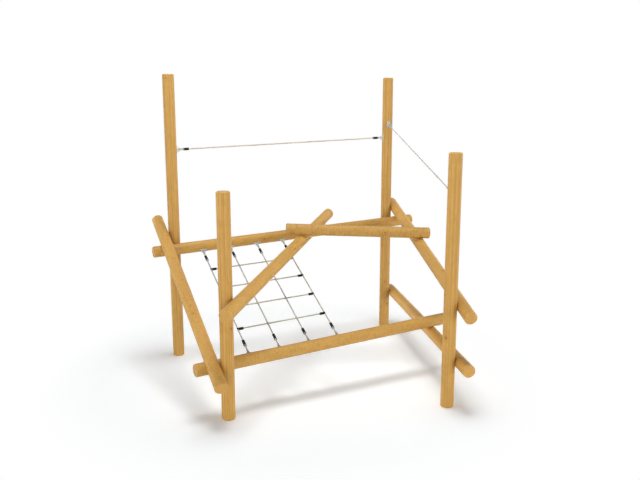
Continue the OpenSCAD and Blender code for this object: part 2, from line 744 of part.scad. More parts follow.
// A tee: its barrel grips the outer lengthwise rope and its sleeve holds the cross rope's end.
module tee(P, along_cross, along_rope) {
    block_z = tee_bore_r - tee_wall;
    taper_z = tee_barrel_r;
    x = square_to(along_rope, along_cross);
    color(BLACK) framed_at(P, x, cross(along_cross, x), along_cross)
        difference() {
            union() {
                rotate([0, 90, 0])
                    cylinder(h = tee_barrel_l, r = tee_barrel_r, center = true, $fn = round_fn);
                translate([0, 0, block_z])
                    cylinder(h = taper_z - block_z, r1 = tee_barrel_l / 2, r2 = tee_sleeve_r, $fn = round_fn);
                translate([0, 0, taper_z]) cylinder(h = tee_l - taper_z, r = tee_sleeve_r, $fn = round_fn);
            }
            tee_bore(along_rope, along_cross);
            translate([0, 0, cross_start]) cylinder(h = tee_l, r = tee_bore_r, $fn = round_fn);
        }
}

// The bore round the outer rope, which isn't quite square to the cross rope.
module tee_bore(along_rope, along_cross) {
    slant = 90 - acos(along_rope * along_cross);
    rotate([0, 90 - slant, 0]) cylinder(h = 3 * tee_barrel_l, r = tee_bore_r, center = true, $fn = round_fn);
}

module tees(i, far) {
    line = net_line(i);
    for (j = [0:CROSS - 1])
        tee(net_node(i, j), unit(net_node(far, j) - net_node(i, j)), unit(line[1] - line[0]));
}

module net_rope_1() { net_rope(0); }
module net_rope_2() { net_rope(1); }
module net_rope_3() { net_rope(2); }
module net_rope_4() { net_rope(3); }
module cross_rope_1() { cross_rope(0); }
module cross_rope_2() { cross_rope(1); }
module cross_rope_3() { cross_rope(2); }
module cross_rope_4() { cross_rope(3); }
module cross_rope_tees_left() { tees(0, LENGTHWISE - 1); }
module cross_rope_tees_right() { tees(LENGTHWISE - 1, 0); }

module hand_rope(ends) {
    color(ROPE) rope_tube(rope_points(ends[0], ends[1],
        hand_ferrule_from_eye, hand_ferrule_from_eye, hand_ferrule_l));
}
module hand_rope_rear() { hand_rope(HAND_REAR); }
module hand_rope_right() { hand_rope(HAND_RIGHT); }

// ---- Ferrules ----

// A pressed ferrule over the two legs of a rope eye, hollowed at both ends. z runs along the rope.
module ferrule(h, wall, colour) {
    outer_r = rope_r + hole_gap + wall;
    scoop_r = 1.1 * outer_r;
    scoop_depth = 5;
    color(colour) difference() {
        union() {
            for (s = [-1, 1]) translate([0, s * leg_y, 0]) cylinder(h = h, r = outer_r, $fn = round_fn);
            translate([-outer_r, -leg_y, 0]) cube([2 * outer_r, 2 * leg_y, h]);
        }
        for (s = [-1, 1]) translate([0, s * leg_y, -cut_past])
            cylinder(h = h + 2 * cut_past, r = rope_r + hole_gap, $fn = round_fn);
        for (z = [scoop_depth - scoop_r, h - scoop_depth + scoop_r]) translate([0, 0, z])
            rotate([90, 0, 0]) cylinder(h = 6 * outer_r, r = scoop_r, center = true, $fn = round_fn);
    }
}

module ferrules(ends, others, from_eye, h, wall = ferrule_wall, colour = BLACK) {
    for (i = [0:len(ends) - 1]) {
        d = unit(others[i][0] - ends[i][0]);
        f = eye_frame(ends[i], d);
        framed_at(ends[i][0] + from_eye * d, f[0], f[1], f[2]) ferrule(h, wall, colour);
    }
}

module net_ferrules_rear() { ferrules(NET_REAR, NET_FRONT, back_ferrule_from_eye, net_ferrule_l); }
module net_ferrules_front() { ferrules(NET_FRONT, NET_REAR, front_ferrule_from_eye, net_ferrule_l); }
module hand_rope_ferrules() { ferrules(HAND_REAR, reversed(HAND_REAR), hand_ferrule_from_eye, hand_ferrule_l); }
module hand_rope_sleeves() {
    ferrules(HAND_RIGHT, reversed(HAND_RIGHT), hand_ferrule_from_eye, hand_ferrule_l, sleeve_wall, STEEL);
}

post_rear_left();
post_front_left();
post_rear_right();
post_front_right();
beam_rear();
beam_front();
brace_left();
rail_right_upper();
rail_right_lower();
log_leaning();
log_top();
log_screws();
wood_plugs();
net_eye_plates_rear();
net_eye_plates_front();
hand_rope_eye_plates();
net_plate_screws();
hand_rope_plate_screws();
net_thimbles_rear();
net_thimbles_front();
hand_rope_thimbles();
net_rope_1();
net_rope_2();
net_rope_3();
net_rope_4();
cross_rope_1();
cross_rope_2();
cross_rope_3();
cross_rope_4();
net_ferrules_rear();
net_ferrules_front();
cross_rope_tees_left();
cross_rope_tees_right();
hand_rope_rear();
hand_rope_right();
hand_rope_ferrules();
hand_rope_sleeves();
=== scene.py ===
# %% [markdown]
# A climbing frame of round logs, dressed for a render. The carpenter's part of it, the logs, screws and
# eye plates, comes ready-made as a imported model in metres. This script adds what a rope maker and a
# finisher would: laid ropes, wood grain, zinc, black ferrules, and the light of a studio.

import bpy
import numpy as np
from mathutils import Matrix, Vector


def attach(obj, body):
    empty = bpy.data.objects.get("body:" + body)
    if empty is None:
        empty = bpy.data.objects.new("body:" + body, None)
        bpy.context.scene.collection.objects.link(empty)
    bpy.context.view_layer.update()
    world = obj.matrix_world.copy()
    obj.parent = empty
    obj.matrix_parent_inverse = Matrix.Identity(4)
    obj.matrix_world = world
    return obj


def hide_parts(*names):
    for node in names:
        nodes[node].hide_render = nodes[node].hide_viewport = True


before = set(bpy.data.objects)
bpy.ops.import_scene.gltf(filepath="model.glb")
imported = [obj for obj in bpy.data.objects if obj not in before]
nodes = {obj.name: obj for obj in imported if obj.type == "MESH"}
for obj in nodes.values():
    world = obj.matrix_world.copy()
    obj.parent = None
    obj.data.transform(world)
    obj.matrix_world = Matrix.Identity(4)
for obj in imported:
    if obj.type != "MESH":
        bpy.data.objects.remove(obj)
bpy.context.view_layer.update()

# %% [markdown]
# The camera comes first. It stands about six and a half metres in front of the frame, a little lower than
# the tops of the tallest posts, and looks slightly down. A camera's matrix is made of four columns: its
# right, its up, the direction out of its back, and its place.

# %% Camera
camera_place = Vector((-0.83594, -8.16673, 3.15349))
camera_forward = Vector((0.13105, 0.97328, -0.18856)).normalized()
camera_right = Vector((0.99105, -0.13347, -0.00014))
camera_right = (camera_right - camera_right.dot(camera_forward) * camera_forward).normalized()
camera_up = camera_right.cross(camera_forward)

camera_data = bpy.data.cameras.new("camera")
camera_data.sensor_width = 36.0
camera_data.lens = 39.704
camera_data.clip_end = 200.0
camera = bpy.data.objects.new("camera", camera_data)
camera.matrix_world = Matrix((
    (camera_right.x, camera_up.x, -camera_forward.x, camera_place.x),
    (camera_right.y, camera_up.y, -camera_forward.y, camera_place.y),
    (camera_right.z, camera_up.z, -camera_forward.z, camera_place.z),
    (0.0, 0.0, 0.0, 1.0)))
bpy.context.scene.collection.objects.link(camera)
bpy.context.scene.camera = camera
print("camera tilt below the horizon, degrees:", round(np.degrees(-np.arcsin(camera_forward.z)), 2))

# %% [markdown]
# Every rope ends in an eye that lies round a grooved thimble, and the eye hangs on a bar. Such an end
# is known by two things: where the bar's middle is, and which way the bar points. The rope's line
# then follows from straight legs and circle arcs.

# %% Rope ends: the direction of each bar and its middle
rear_bar = np.array((0.958059, 0.282761, 0.0465723))
front_bar = np.array((0.938436, 0.343952, 0.0321599))
upward = np.array((0.0, 0.0, 1.0))
net_rear_eyes = np.array((
    (-1.12020, 0.521315, 1.35154), (-0.782963, 0.620847, 1.36793),
    (-0.445727, 0.720378, 1.38432), (-0.108490, 0.819910, 1.40072)))
net_front_eyes = np.array((
    (-0.640537, -1.02988, 0.583260), (-0.305516, -0.907092, 0.594741),
    (0.0295061, -0.784301, 0.606222), (0.364528, -0.661510, 0.617703)))
hand_rear_eyes = np.array(((-1.38143, 0.659100, 2.615), (1.30044, 1.45063, 2.705)))
hand_right_eyes = np.array(((1.40114, 1.37659, 2.885), (1.44287, -1.25186, 2.290)))
print("spans, m:", [round(float(np.linalg.norm(b - a)), 3) for a, b in zip(net_rear_eyes, net_front_eyes)])

# %% Sizes of a rope's end
rope_d = 0.016
rope_r = rope_d / 2
leg_gap = 0.001
hole_gap = 0.0002
seat_gap = 0.0003
eye_bar_r = 0.005
thimble_r = 0.014
thimble_t = 0.0025
throat_bend = 0.022
net_eye_turn = np.radians(26.0)
leg_y = (rope_d + leg_gap) / 2
cheek_w = rope_d + 2 * hole_gap + 2 * thimble_t
crown_r = thimble_r + thimble_t + hole_gap + rope_r
throat_z = np.sqrt((crown_r + throat_bend) ** 2 - (leg_y + throat_bend) ** 2)
throat_angle = np.arctan2(leg_y + throat_bend, throat_z)
print("throat to crown, mm:", round(1000 * float(throat_z), 2))


# %% [markdown]
# The eye is drawn flat first, in its own plane: y is across the rope and z runs along it. One long leg
# comes down, bends outwards at the throat, runs round the crown and comes back to the short leg. Only
# then is the flat line carried to its place by three square directions.

# %% The flat line of one rope eye
def unit(v):
    """The vector or vectors v at length 1: each one divided by the root of its summed squares."""
    return v / np.linalg.norm(v, axis=-1, keepdims=True)


def square_to(v, d):
    """The part of v that is square to the unit vector d, at length 1: v less its share along d."""
    return unit(v - np.sum(v * d, axis=-1, keepdims=True) * d)


throat_points, crown_points = 40, 120


def arc(centre, radius, start, stop, count):
    """Points of a circle arc: centre plus radius times (sine, cosine) of angles from start to stop."""
    a = np.linspace(start, stop, count)
    return np.stack([centre[0] + radius * np.sin(a), centre[1] + radius * np.cos(a)], axis=1)


def thimble_axis(bar, d, turn):
    """The bar's direction, brought square to the rope and turned round it: cosine times that direction
    plus sine times the one square to both."""
    level = square_to(bar, d)
    return np.cos(turn) * level + np.sin(turn) * np.cross(d, level)


def crown_z(bar, d, turn):
    """From the bar to the crown's centre: the thimble's radius less the room that a slanting bar takes,
    which leaves the thimble's cheek at a point off to the side and nearer to the crown."""
    axis = thimble_axis(bar, d, turn)
    through = np.dot(bar, axis)
    across = cheek_w / 2 * np.dot(bar, np.cross(d, axis)) / through
    rise = cheek_w / 2 * abs(np.dot(bar, d)) / through
    return np.sqrt((thimble_r - eye_bar_r / through - seat_gap) ** 2 - across ** 2) - rise


def eye_arcs(zc):
    """Throat arc, crown arc and throat arc, joined where each pair of circles touches."""
    side_y, side_z = leg_y + throat_bend, zc + throat_z
    out = arc((side_y, side_z), throat_bend, 1.5 * np.pi, np.pi + throat_angle, throat_points)
    crown = arc((0.0, zc), crown_r, throat_angle, 2 * np.pi - throat_angle, crown_points)
    back = arc((-side_y, side_z), throat_bend, np.pi - throat_angle, 0.5 * np.pi, throat_points)
    return np.concatenate([out, crown[1:-1], back])


eye_outline = eye_arcs(0.0)
print("eye outline: %d points, %.1f mm wide" % (len(eye_outline), 1000 * np.ptp(eye_outline[:, 0])))


# %% From the flat eye to a rope's whole line
tail_inset = 0.004
line_step = 0.004


def end_line(eye, bar, d, turn, side, ferrule_z, ferrule_l):
    """One end's points: eye plus y times the across direction plus z times d, from long leg to tail."""
    across = np.cross(d, thimble_axis(bar, d, turn))
    flat = np.concatenate([
        [[leg_y, ferrule_z + ferrule_l]], eye_arcs(crown_z(bar, d, turn)),
        [[-leg_y, ferrule_z + ferrule_l - tail_inset]]])
    return eye + side * flat[:, :1] * across + flat[:, 1:] * d


def evenly(points, spacing):
    """The same line with points one spacing apart: straight interpolation over the length run so far."""
    run = np.concatenate([[0.0], np.cumsum(np.linalg.norm(np.diff(points, axis=0), axis=1))])
    s = np.linspace(0.0, run[-1], int(round(run[-1] / spacing)) + 1)
    return s, np.stack([np.interp(s, run, points[:, k]) for k in range(3)], axis=1)


def eyed_rope(a, b, bar_a, bar_b, turn, ferrule_a, ferrule_b, ferrule_l):
    """Line and sideways directions of a rope with an eye at each end. The sideways direction is the
    thimble's axis at each eye, and turns evenly from one to the other along the straight part."""
    d = unit(b - a)
    line_a = end_line(a, bar_a, d, turn, 1.0, ferrule_a, ferrule_l)[::-1]
    line_b = end_line(b, bar_b, -d, -turn, -1.0, ferrule_b, ferrule_l)
    s, line = evenly(np.concatenate([line_a, line_b]), line_step)
    along = (line - line_a[-1]) @ d / np.linalg.norm(line_b[0] - line_a[-1])
    share = np.clip(along, 0.0, 1.0)[:, None]
    side = square_to((1 - share) * thimble_axis(bar_a, d, turn) + share * thimble_axis(bar_b, -d, -turn), d)
    return s, line, side, (line_a[-1], line_b[0])


net_ferrule_l, back_ferrule_z, front_ferrule_z = 0.070, 0.089, 0.106
hand_ferrule_l, hand_ferrule_z = 0.065, 0.052
net_lines = [
    eyed_rope(a, b, rear_bar, front_bar, net_eye_turn, back_ferrule_z, front_ferrule_z, net_ferrule_l)
    for a, b in zip(net_rear_eyes, net_front_eyes)]
hand_lines = [
    eyed_rope(e[0], e[1], upward, upward, 0.0, hand_ferrule_z, hand_ferrule_z, hand_ferrule_l)
    for e in (hand_rear_eyes, hand_right_eyes)]
print("rope lengths, m:", [round(float(l[0][-1]), 3) for l in net_lines + hand_lines])

# %% Where cross ropes pass the lengthwise ones
net_count, cross_count = len(net_lines), 4


def net_node(i, j):
    """Point j on lengthwise rope i: its share of the way from eye to eye, brought square onto the line.
    The shares cut that way into one part more than there are cross ropes."""
    share = (j + 1) / (cross_count + 1)
    point = net_rear_eyes[i] * (1 - share) + net_front_eyes[i] * share
    start, stop = net_lines[i][3]
    d = unit(stop - start)
    return start + np.dot(point - start, d) * d


cross_nodes = np.array([[net_node(i, j) for j in range(cross_count)] for i in range(net_count)])
print("cross ropes, node to node, m:", np.round(np.linalg.norm(cross_nodes[-1] - cross_nodes[0], axis=1), 3))


# %% [markdown]
# A rope of this kind has six strands that lie round a core like the threads of a screw. Each strand
# is a thin tube whose centre circles the rope's line. Where a cross rope goes through a
# lengthwise one, three strands pass over it and three pass under it, so the strands stop turning
# for a moment and spread.

# %% Tubes along lines, as one mesh
def add_mesh(name, vertices, quads, uv):
    """Makes a smooth object from arrays: vertices (n, 3), quads (m, 4), and one uv pair per quad corner."""
    mesh = bpy.data.meshes.new(name)
    mesh.vertices.add(len(vertices))
    mesh.vertices.foreach_set("co", np.asarray(vertices, np.float32).ravel())
    mesh.loops.add(quads.size)
    mesh.loops.foreach_set("vertex_index", quads.astype(np.int32).ravel())
    mesh.polygons.add(len(quads))
    mesh.polygons.foreach_set("loop_start", np.arange(0, quads.size, 4, dtype=np.int32))
    mesh.update(calc_edges=True)
    mesh.uv_layers.new(name="run").data.foreach_set("uv", np.asarray(uv, np.float32).ravel())
    mesh.polygons.foreach_set("use_smooth", np.full(len(quads), True))
    mesh.validate()
    thing = bpy.data.objects.new(name, mesh)
    bpy.context.scene.collection.objects.link(thing)
    return thing


def grid_quads(tubes, rings, sides):
    """Corner numbers of the quads of several closed tubes, each rings long and sides round."""
    t, r, k = np.meshgrid(np.arange(tubes), np.arange(rings - 1), np.arange(sides), indexing="ij")
    k2 = (k + 1) % sides
    base = (t * rings + r) * sides
    return np.stack([base + k, base + k2, base + sides + k2, base + sides + k], axis=-1).reshape(-1, 4)


strand_count = 6
strand_r = rope_r / 3
strand_ring = rope_r - strand_r
lay = 0.105
strand_sides = 10
print("strand diameter, mm:", round(2000 * strand_r, 2))


# %% Laid rope
def strand_tubes(name, s, line, side, phase, spread=None):
    """Six strand tubes. A strand's centre is the line plus its ring radius times (cosine, sine) of its
    angle, in the two directions square to the line, and its skin is a circle of strand_r square to
    its own run. The function spread changes those cosines, sines and radii at the crossings."""
    run = unit(np.gradient(line, axis=0))
    x = square_to(side, run)
    y = np.cross(run, x)
    angle = phase[None, :] + (2 * np.pi / strand_count * np.arange(strand_count))[:, None]
    c, q, radius = np.cos(angle), np.sin(angle), np.full(angle.shape, strand_ring)
    if spread is not None:
        c, q, radius = spread(s, x, y, c, q, radius)
    out = c[..., None] * x + q[..., None] * y
    centre = line + radius[..., None] * out
    strand_run = unit(np.gradient(centre, axis=1))
    e1 = square_to(out, strand_run)
    e2 = np.cross(strand_run, e1)
    turn = 2 * np.pi * np.arange(strand_sides) / strand_sides
    skin = (centre[:, :, None] + strand_r * (np.cos(turn)[:, None] * e1[:, :, None]
                                             + np.sin(turn)[:, None] * e2[:, :, None]))
    skin[:, 0] = centre[:, :1]
    skin[:, -1] = centre[:, -1:]
    quads = grid_quads(strand_count, len(s), strand_sides)
    ring_no = (quads // strand_sides) % len(s)
    turn_no = np.tile(np.array([0, 1, 1, 0]), (len(quads), 1)) + (quads[:, :1] % strand_sides)
    uv = np.stack([turn_no / strand_sides, s[ring_no]], axis=-1)
    return add_mesh(name, skin.reshape(-1, 3), quads, uv)


def even_phase(s):
    """The strands' angle grows by a full turn in each length of lay."""
    return 2 * np.pi * s / lay


# %% [markdown]
# At a crossing, the strands of the lengthwise rope hold still with three of them on each side, and spread
# until the cross rope fits between. The cross rope is gripped there, so it narrows. Both changes come
# and go along a cosine curve, because a sudden one would show as a kink.

# %% How strands pass a crossing
hold_reach = 0.009
part_flat, part_fade = 0.006, 0.028
part_squeeze = 0.646
parted_ring = 0.0096
grip_fade = 0.014
cross_grip = 0.72


def nearness(gap, flat, fade):
    """1 up to flat from a crossing, 0 from flat + fade on, and the square of a cosine between them."""
    return np.cos(np.clip((gap - flat) / fade, 0.0, 1.0) * np.pi / 2) ** 2


def held_phase(s, at, side_at, d, normal):
    """The strands' angle grows evenly, but round each crossing it stays at the nearest angle that puts
    three strands on each side: that of the normal, plus a whole number of sixth turns."""
    x = square_to(side_at, d)
    aim = np.arctan2(np.sum(normal * np.cross(d, x), axis=1), np.sum(normal * x, axis=1))
    sixth_turn = np.pi / 3
    kept = aim + np.round((even_phase(at) - aim) / sixth_turn) * sixth_turn
    run_held = np.concatenate([[0.0], np.stack([at - hold_reach, at + hold_reach], 1).ravel(), [s[-1]]])
    angle_held = np.concatenate([[0.0], np.repeat(kept, 2), [even_phase(s[-1])]])
    return np.interp(s, run_held, angle_held)


def parting(at, normal):
    """The spread of a rope with a cross rope through it: each strand's place is split into a share
    along the normal and a share along the cross rope, the second shrinks, and the ring widens."""
    def spread(s, x, y, c, q, radius):
        which = np.argmin(np.abs(s[:, None] - at), axis=1)
        w = nearness(np.abs(s - at[which]), part_flat, part_fade)
        n_x, n_y = np.sum(normal[which] * x, 1), np.sum(normal[which] * y, 1)
        n_l = np.hypot(n_x, n_y)
        n_x, n_y = n_x / n_l, n_y / n_l
        up_n, up_c = c * n_x + q * n_y, -c * n_y + q * n_x
        up_c = up_c * (1 - part_squeeze * w)
        size = np.hypot(up_n, up_c)
        up_n, up_c = up_n / size, up_c / size
        return up_n * n_x - up_c * n_y, up_n * n_y + up_c * n_x, radius + w * (parted_ring - strand_ring)
    return spread


def gripping(at):
    """The spread of a cross rope: near a crossing its ring shrinks to cross_grip of its radius."""
    def spread(s, x, y, c, q, radius):
        w = nearness(np.min(np.abs(s[:, None] - at), axis=1), 0.0, grip_fade)
        return c, q, radius * (1 - (1 - cross_grip) * w)
    return spread


print("a crossing changes the strands over, mm:", round(2000 * (part_flat + part_fade)))

# %% The ropes of the net, and the hand ropes
tee_web = 0.004
cross_start = rope_r + hole_gap + tee_web + hole_gap
outer_ropes = (0, net_count - 1)


def lengthwise_rope(i):
    """An outer rope of the net runs plain, and an inner one parts at each crossing."""
    s, line, side, ends = net_lines[i]
    name = f"net_rope_{i + 1}_laid"
    if i in outer_ropes:
        return strand_tubes(name, s, line, side, even_phase(s)), line
    d = unit(ends[1] - ends[0])
    normal = np.cross(d, unit(cross_nodes[-1] - cross_nodes[0]))
    near = np.argmin(np.linalg.norm(line[None] - cross_nodes[i][:, None], axis=2), axis=1)
    phase = held_phase(s, s[near], side[near], d, normal)
    return strand_tubes(name, s, line, side, phase, parting(s[near], normal)), line


def crosswise_rope(j):
    """A cross rope runs from the tee on one outer rope to the tee on the other."""
    a, b = cross_nodes[0, j], cross_nodes[-1, j]
    d = unit(b - a)
    s, line = evenly(np.array([a + cross_start * d, b - cross_start * d]), line_step)
    side = np.broadcast_to(square_to(upward, d), line.shape)
    at = (cross_nodes[1:-1, j] - line[0]) @ d
    return strand_tubes(f"cross_rope_{j + 1}_laid", s, line, side, even_phase(s), gripping(at)), line


net_ropes = [lengthwise_rope(i) for i in range(net_count)] + [crosswise_rope(j) for j in range(cross_count)]
hand_ropes = [
    (strand_tubes(f"hand_rope_{place}_laid", s, line, side, even_phase(s)), line)
    for place, (s, line, side, ends) in zip(("rear", "right"), hand_lines)]
print("rope triangles:", sum(2 * len(rope.data.polygons) for rope, line in net_ropes + hand_ropes))

# %% [markdown]
# So far the ropes are only shapes. Each one takes the place of a node of the imported model, which is hidden,
# and is hung on an empty for the model's root.

# %% Each rope in place of its node
rope_nodes = [f"net_rope_{i + 1}" for i in range(net_count)]
rope_nodes += [f"cross_rope_{j + 1}" for j in range(cross_count)]
rope_nodes += ["hand_rope_rear", "hand_rope_right"]
for (rope, line), node in zip(net_ropes + hand_ropes, rope_nodes):
    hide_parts(node)
    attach(rope, "root")


# %% [markdown]
# A node tree grows quickly, so small helpers write it. Where a helper is given a socket in place of a
# value, it links that socket. One adds any node, and three add those that are used most: a sum of some
# kind, a mix of two colours, and a soft step between two limits. The next cell has three more, for an
# empty group, a new material, and a group's place in a tree.

# %% Helpers for shader nodes
def fill(tree, socket, value):
    """Links the value to the socket if it is a socket too, and writes it there if not."""
    if isinstance(value, bpy.types.NodeSocket):
        tree.links.new(value, socket)
    else:
        socket.default_value = value


def put(tree, kind, settings=None, **sockets):
    """Adds one node, sets its own settings, and fills the sockets that are named."""
    made = tree.nodes.new(kind)
    for key, value in (settings or {}).items():
        setattr(made, key, value)
    for key, value in sockets.items():
        fill(tree, made.inputs[key.replace("_", " ")], value)
    return made


def maths(tree, operation, *values):
    """One Math node: its operation on one, two or three values or sockets."""
    made = tree.nodes.new("ShaderNodeMath")
    made.operation = operation
    for socket, value in zip(made.inputs, values):
        fill(tree, socket, value)
    return made.outputs[0]


def mixed(tree, factor, a, b):
    """A mix of two colours: a where the factor is 0, b where it is 1. A colour is a socket or three
    numbers. Inputs 6 and 7 and output 2 are the colour ones, because the node has a set for each kind."""
    made = put(tree, "ShaderNodeMix", {"data_type": "RGBA"}, Factor=factor)
    for number, colour in ((6, a), (7, b)):
        fill(tree, made.inputs[number], (*colour, 1.0) if isinstance(colour, tuple) else colour)
    return made.outputs[2]


def step(tree, value, low, high, out_low=0.0, out_high=1.0):
    """A soft step: out_low up to low, out_high from high on, and an S-curve between them."""
    made = tree.nodes.new("ShaderNodeMapRange")
    made.interpolation_type = "SMOOTHSTEP"
    for socket, number in zip(made.inputs, (value, low, high, out_low, out_high)):
        fill(tree, socket, number)
    return made.outputs[0]


print("node helpers:", [helper.__name__ for helper in (fill, put, maths, mixed, step)])


# %% Helpers for groups and materials
def new_group(name, inputs, outputs):
    """An empty node group with named sockets; inputs and outputs are {name: (socket type, default)}."""
    group = bpy.data.node_groups.new(name, "ShaderNodeTree")
    for in_out, sockets in (("INPUT", inputs), ("OUTPUT", outputs)):
        for label, (kind, value) in sockets.items():
            socket = group.interface.new_socket(label, in_out=in_out, socket_type="NodeSocket" + kind)
            if value is not None:
                socket.default_value = value
    return group, group.nodes.new("NodeGroupInput"), group.nodes.new("NodeGroupOutput")


def new_material(name):
    """A material with its Principled BSDF, and the tree that it stands in."""
    material = bpy.data.materials.new(name)
    material.use_nodes = True
    return material, material.node_tree, material.node_tree.nodes["Principled BSDF"]


def group_node(tree, group, **sockets):
    """Places a node group in a tree and fills its inputs."""
    return put(tree, "ShaderNodeGroup", {"node_tree": group}, **sockets)


print("group and material helpers:", [helper.__name__ for helper in (new_group, new_material, group_node)])

# %% [markdown]
# The logs are softwood turned to an even thickness. On such a log the growth rings come to the surface
# as long flames, because the pith never runs quite down the middle. So the grain is built as it
# grows: rings round a wandering pith, bent round knots, cut by the round surface. Lengthwise fibres, a
# few drying checks, the turning tool's marks and end grain lie over that. All of it is one group, and
# each log gets it turned to its own axis, with z running from its start to its other end.

# %% The wood group and its coordinates
wood, wood_in, wood_out = new_group(
    "turned_wood",
    {"Vector": ("Vector", None), "Length": ("Float", 3.0), "Seed": ("Float", 0.0), "Tone": ("Float", 1.0),
     "Tool Marks": ("Float", 0.3), "Flames": ("Float", 1.0), "Long Streaks": ("Float", 0.0)},
    {"Color": ("Color", None), "Roughness": ("Float", None), "Height": ("Float", None)})
given = wood_in.outputs


def times(a, b):
    """One wood value times another."""
    return maths(wood, "MULTIPLY", a, b)


def less(a, b):
    """One wood value less another."""
    return maths(wood, "SUBTRACT", a, b)


def stretched(across, length):
    """The log's own coordinates, scaled across and along it, so that noise becomes streaks."""
    made = put(wood, "ShaderNodeVectorMath", {"operation": "MULTIPLY"})
    fill(wood, made.inputs[0], own_vector)
    fill(wood, made.inputs[1], (across, across, length))
    return made.outputs[0]


def noise(vector, scale, detail=2.0, roughness=0.5, distortion=0.0):
    """One noise value between 0 and 1."""
    return put(wood, "ShaderNodeTexNoise", Vector=vector, Scale=scale, Detail=detail,
               Roughness=roughness, Distortion=distortion).outputs["Fac"]


split = put(wood, "ShaderNodeSeparateXYZ", Vector=given["Vector"])
seed_shift = put(wood, "ShaderNodeCombineXYZ", X=given["Seed"], Y=0.0, Z=times(given["Seed"], 3.7))
own = put(wood, "ShaderNodeVectorMath", {"operation": "ADD"})
fill(wood, own.inputs[0], given["Vector"])
fill(wood, own.inputs[1], seed_shift.outputs[0])
own_vector = own.outputs[0]
print("the wood group's inputs:", [socket.name for socket in given if socket.name])

# %% Knots and growth rings
ring_width = 0.0052
pith_wander, pith_middle = 0.085, 0.042
ring_ripple = 0.010
knot_bend = 0.012

knot_cells = put(wood, "ShaderNodeTexVoronoi", {"feature": "F1"}, Vector=stretched(1.0, 0.75), Scale=6.0)
knot_distance = knot_cells.outputs["Distance"]
knot_core = step(wood, knot_distance, 0.050, 0.085, 1.0, 0.0)
knot_halo = step(wood, knot_distance, 0.06, 0.30, 1.0, 0.0)

pith_noise = put(wood, "ShaderNodeTexNoise", Vector=stretched(0.0, 1.0), Scale=0.9, Detail=2.0)
pith = put(wood, "ShaderNodeSeparateXYZ", Vector=pith_noise.outputs["Color"])
from_pith_x, from_pith_y = (
    maths(wood, "MULTIPLY_ADD", pith.outputs[side], pith_wander, less(split.outputs[side], pith_middle))
    for side in "XY")
pith_distance = maths(wood, "SQRT", maths(
    wood, "ADD", times(from_pith_x, from_pith_x), times(from_pith_y, from_pith_y)))
ripple = noise(stretched(1.0, 0.25), scale=14.0, detail=3.0)
ring_depth = maths(wood, "MULTIPLY_ADD", ripple, ring_ripple, pith_distance)
ring_depth = maths(wood, "MULTIPLY_ADD", knot_halo, knot_bend, ring_depth)
ring_wave = maths(wood, "SINE", times(ring_depth, 2 * np.pi / ring_width))
late_wood = step(wood, ring_wave, -0.2, 0.95)
print("growth rings in ten centimetres:", round(0.1 / ring_width))

# %% Fibres, streaks, tool marks and drying checks
fibre = noise(stretched(1.0, 0.030), scale=230.0, detail=3.0, roughness=0.65)
streak = noise(stretched(1.0, 0.045), scale=48.0, detail=3.0, roughness=0.6)
long_streak = noise(stretched(1.0, 0.006), scale=72.0, roughness=0.55)
cloud = noise(stretched(1.0, 0.6), scale=3.2)
tool = noise(stretched(0.22, 1.0), scale=85.0, detail=3.0, roughness=0.6, distortion=0.4)
check_line = noise(stretched(1.0, 0.022), scale=34.0, roughness=0.45)
check_place = noise(stretched(1.0, 0.35), scale=4.5, detail=1.0)


def close_to_half(value, narrow, wide):
    """1 where a noise value is 0.5 to within narrow, and 0 beyond wide: thin lines that never end."""
    return step(wood, maths(wood, "ABSOLUTE", less(value, 0.5)), narrow, wide, 1.0, 0.0)


check = times(close_to_half(check_line, 0.0015, 0.0065), step(wood, check_place, 0.60, 0.68))
print("nodes so far:", len(wood.nodes))

# %% Side grain: from pale early wood to orange late wood, and what lies over it
early_wood_colour, late_wood_colour = (0.525, 0.295, 0.064), (0.476, 0.252, 0.048)
brown_streaks = times(step(wood, streak, 0.36, 0.68), given["Flames"])
dark_streaks = times(step(wood, long_streak, 0.50, 0.60, 0.0, 0.75), given["Long Streaks"])
pale_streaks = times(step(wood, long_streak, 0.36, 0.46, 0.55, 0.0), given["Long Streaks"])
side_layers = {
    "brown streaks": (brown_streaks, (0.432, 0.224, 0.042)),
    "pale fibres": (step(wood, fibre, 0.30, 0.75, 0.0, 0.45), (0.583, 0.347, 0.088)),
    "orange clouds": (step(wood, cloud, 0.35, 0.70, 0.0, 0.38), (0.552, 0.302, 0.066)),
    "long dark streaks": (dark_streaks, (0.400, 0.200, 0.034)),
    "long pale streaks": (pale_streaks, (0.640, 0.369, 0.086)),
    "tool marks": (times(step(wood, tool, 0.52, 0.66), given["Tool Marks"]), (0.356, 0.179, 0.041)),
    "wood round knots": (times(knot_halo, 0.35), (0.418, 0.197, 0.034)),
    "knots": (times(knot_core, 0.8), (0.240, 0.100, 0.019)),
    "drying checks": (times(check, 0.75), (0.076, 0.033, 0.009)),
}
side_colour = mixed(wood, times(late_wood, given["Flames"]), early_wood_colour, late_wood_colour)
for amount, layer_colour in side_layers.values():
    side_colour = mixed(wood, amount, side_colour, layer_colour)
print("layers over the plain grain:", ", ".join(side_layers))

